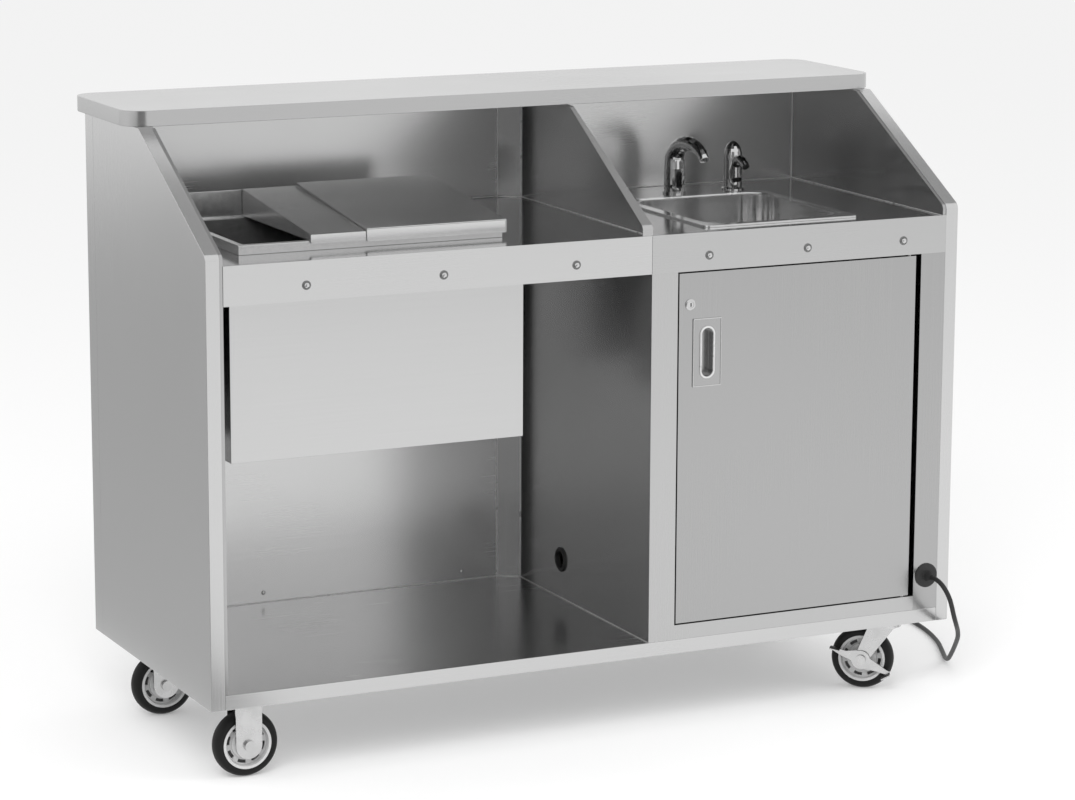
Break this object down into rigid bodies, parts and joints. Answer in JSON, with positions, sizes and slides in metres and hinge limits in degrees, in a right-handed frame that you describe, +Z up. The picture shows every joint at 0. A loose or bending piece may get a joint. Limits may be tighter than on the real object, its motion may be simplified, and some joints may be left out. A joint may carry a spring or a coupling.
{
  "type": "portable bar",
  "caption": "Portable stainless bar on casters: raised counter, covered ice bin over an open bay, hand sink with sensor tap, and a lockable cabinet.",
  "frame": {"origin": "on the floor, under the middle of the bar's outline, without the cord", "axes": "+X to the right seen from the operator side, +Y towards the customer side, +Z up"},
  "size_m": [1.84, 0.7999, 1.2201],
  "materials": {
    "satin_steel": "satin brushed stainless",
    "inner_steel": "satin stainless lining",
    "cover_steel": "satin stainless",
    "sink_steel": "satin stainless",
    "chrome": "polished",
    "black_plastic": "gloss",
    "zinc_plate": "bright zinc plate",
    "black_rubber": "matte",
    "white_plastic": "translucent blow moulding",
    "white_enamel": "gloss paint",
    "grey_enamel": "semi-gloss paint",
    "wheel_grey": "smooth moulding",
    "tyre": "smooth rubber"
  },
  "bodies": {
    "cabinet": {"base_pan": "satin_steel", "left_side_panel": "satin_steel", "right_side_panel": "satin_steel", "side_liners": "inner_steel", "back_panel": "satin_steel", "back_liner": "inner_steel", "corner_strip": "inner_steel", "partition": "inner_steel", "centre_stile": "satin_steel", "right_stile": "satin_steel", "left_fascia": "satin_steel", "right_fascia": "satin_steel", "rail_studs": "chrome", "left_deck": "satin_steel", "right_deck": "satin_steel", "counter_top": "satin_steel", "bin_jacket": "inner_steel", "bin_well": "inner_steel", "bin_collar": "cover_steel", "bin_drain": "zinc_plate", "hand_sink": "sink_steel", "sink_rim": "sink_steel", "sink_drain": "zinc_plate", "sensor_tap": "chrome", "soap_tap": "chrome", "sensor_windows": "black_plastic", "partition_grommet": "black_rubber", "cord_bushing": "black_rubber", "power_box": "grey_enamel", "water_tanks": "white_plastic", "water_pump": "black_plastic", "water_heater": "white_enamel", "water_lines": "black_rubber", "soap_bottle": "white_plastic", "rigid_forks": "zinc_plate", "rigid_axles": "zinc_plate", "swivel_plates": "zinc_plate", "supply_cord": "black_rubber", "cord_coil": "black_rubber", "cord_plug": "black_rubber"},
    "door": {"door_panel": "satin_steel", "door_pins": "zinc_plate", "door_pull": "chrome", "lock_body": "chrome"},
    "lock": {"lock_plug": "zinc_plate"},
    "sliding_cover": {"sliding_cover": "cover_steel"},
    "lift_cover": {"lift_cover": "cover_steel", "lift_cover_lip": "cover_steel"},
    "left_front_wheel": {"left_front_wheel": "wheel_grey", "left_front_tyre": "tyre"},
    "left_rear_wheel": {"left_rear_wheel": "wheel_grey", "left_rear_tyre": "tyre"},
    "front_swivel": {"front_yoke": "zinc_plate"},
    "rear_swivel": {"rear_yoke": "zinc_plate"},
    "right_front_wheel": {"right_front_wheel": "wheel_grey", "right_front_tyre": "tyre"},
    "right_rear_wheel": {"right_rear_wheel": "wheel_grey", "right_rear_tyre": "tyre"},
    "front_brake": {"front_brake": "zinc_plate"},
    "rear_brake": {"rear_brake": "zinc_plate"}
  },
  "joints": [
    {"name": "door_hinge", "type": "hinge", "parent": "cabinet", "child": "door", "pos_m": [0.687, -0.327, 0.214], "axis": [0, 0, 1], "range_deg": [0, 105]},
    {"name": "lock_turn", "type": "hinge", "parent": "door", "child": "lock", "pos_m": [0.194, -0.338, 0.841], "axis": [0, -1, 0], "range_deg": [0, 90]},
    {"name": "sliding_cover_slide", "type": "slide", "parent": "cabinet", "child": "sliding_cover", "axis": [1, 0, 0], "range_m": [-0.13, 0.1]},
    {"name": "lift_cover_lift", "type": "slide", "parent": "cabinet", "child": "lift_cover", "axis": [0, 0, 1], "range_m": [0, 0.12]},
    {"name": "left_front_spin", "type": "hinge", "parent": "cabinet", "child": "left_front_wheel", "pos_m": [-0.695, -0.257, 0.0635], "axis": [0, 1, 0], "continuous": true},
    {"name": "left_rear_spin", "type": "hinge", "parent": "cabinet", "child": "left_rear_wheel", "pos_m": [-0.695, 0.192, 0.0635], "axis": [0, 1, 0], "continuous": true},
    {"name": "front_swivel_turn", "type": "hinge", "parent": "cabinet", "child": "front_swivel", "pos_m": [0.695, -0.257, 0.14], "axis": [0, 0, 1], "continuous": true},
    {"name": "rear_swivel_turn", "type": "hinge", "parent": "cabinet", "child": "rear_swivel", "pos_m": [0.695, 0.197, 0.14], "axis": [0, 0, 1], "continuous": true},
    {"name": "right_front_spin", "type": "hinge", "parent": "front_swivel", "child": "right_front_wheel", "pos_m": [0.6605, -0.2281, 0.0635], "axis": [0.6428, 0.766, 0], "continuous": true},
    {"name": "right_rear_spin", "type": "hinge", "parent": "rear_swivel", "child": "right_rear_wheel", "pos_m": [0.6605, 0.2259, 0.0635], "axis": [0.6428, 0.766, 0], "continuous": true},
    {"name": "front_brake_rock", "type": "hinge", "parent": "front_swivel", "child": "front_brake", "pos_m": [0.6605, -0.2281, 0.0635], "axis": [0.6428, 0.766, 0], "range_deg": [0, 14]},
    {"name": "rear_brake_rock", "type": "hinge", "parent": "rear_swivel", "child": "rear_brake", "pos_m": [0.6605, 0.2259, 0.0635], "axis": [0.6428, 0.766, 0], "range_deg": [0, 14]}
  ]
}
